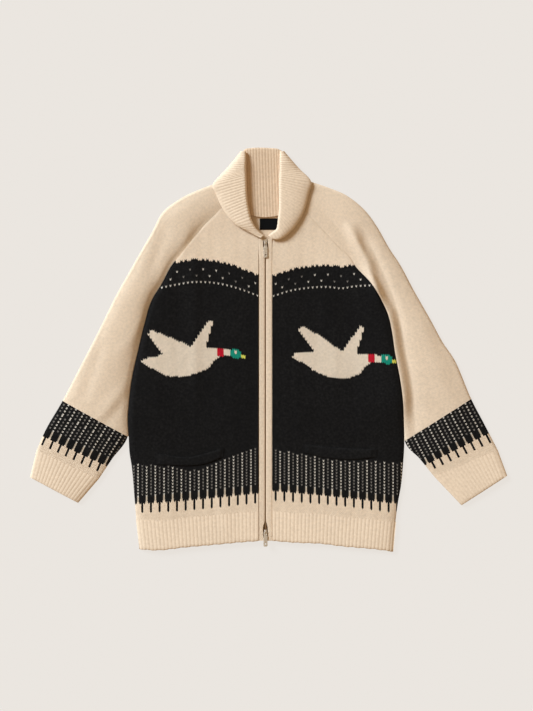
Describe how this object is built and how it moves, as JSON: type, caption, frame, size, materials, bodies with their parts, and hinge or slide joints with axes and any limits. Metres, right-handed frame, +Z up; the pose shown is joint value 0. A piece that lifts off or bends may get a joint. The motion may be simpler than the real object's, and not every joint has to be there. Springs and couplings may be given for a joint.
{
  "type": "knitted zip cardigan",
  "caption": "Zip-fronted knitted cardigan with a folded ribbed collar, raglan sleeves, welt pockets and ribbed cuffs and hem, laid flat.",
  "frame": {"origin": "centre of the laid garment's box, on the surface it lies on", "axes": "+X to the garment's left-hand side as seen from the front, +Y towards the collar, +Z up through the front"},
  "size_m": [1.001, 0.8476, 0.017],
  "materials": {
    "cream_wool": "soft brushed heavy wool knit",
    "black_wool": "soft brushed heavy wool knit",
    "woven_label": "bare woven label",
    "zip_tape": "woven zip tape",
    "zip_metal": "satin silver tone"
  },
  "bodies": {
    "garment": {"back": "black_wool", "hem_back": "cream_wool", "front_left": "black_wool", "front_right": "black_wool", "hem_left": "cream_wool", "hem_right": "cream_wool", "sleeve_left": "cream_wool", "sleeve_right": "cream_wool", "cuff_left": "cream_wool", "cuff_right": "cream_wool", "collar_left": "cream_wool", "collar_right": "cream_wool", "collar_back": "cream_wool", "band_left": "cream_wool", "band_right": "cream_wool", "pocket_welt_left": "black_wool", "pocket_welt_right": "black_wool", "neck_label": "woven_label", "zip_tape_left": "zip_tape", "zip_tape_right": "zip_tape", "zip_chain": "zip_metal", "slider_top": "zip_metal", "slider_low": "zip_metal"},
    "pull_top": {"pull_top": "zip_metal"},
    "pull_low": {"pull_low": "zip_metal"}
  },
  "joints": [
    {"name": "pull_top_swing", "type": "hinge", "parent": "garment", "child": "pull_top", "pos_m": [-0.0065, 0.2232, 0.01165], "axis": [-1, 0, 0], "range_deg": [0, 120]},
    {"name": "pull_low_swing", "type": "hinge", "parent": "garment", "child": "pull_low", "pos_m": [-0.0065, -0.3818, 0.01165], "axis": [-1, 0, 0], "range_deg": [0, 150]}
  ]
}
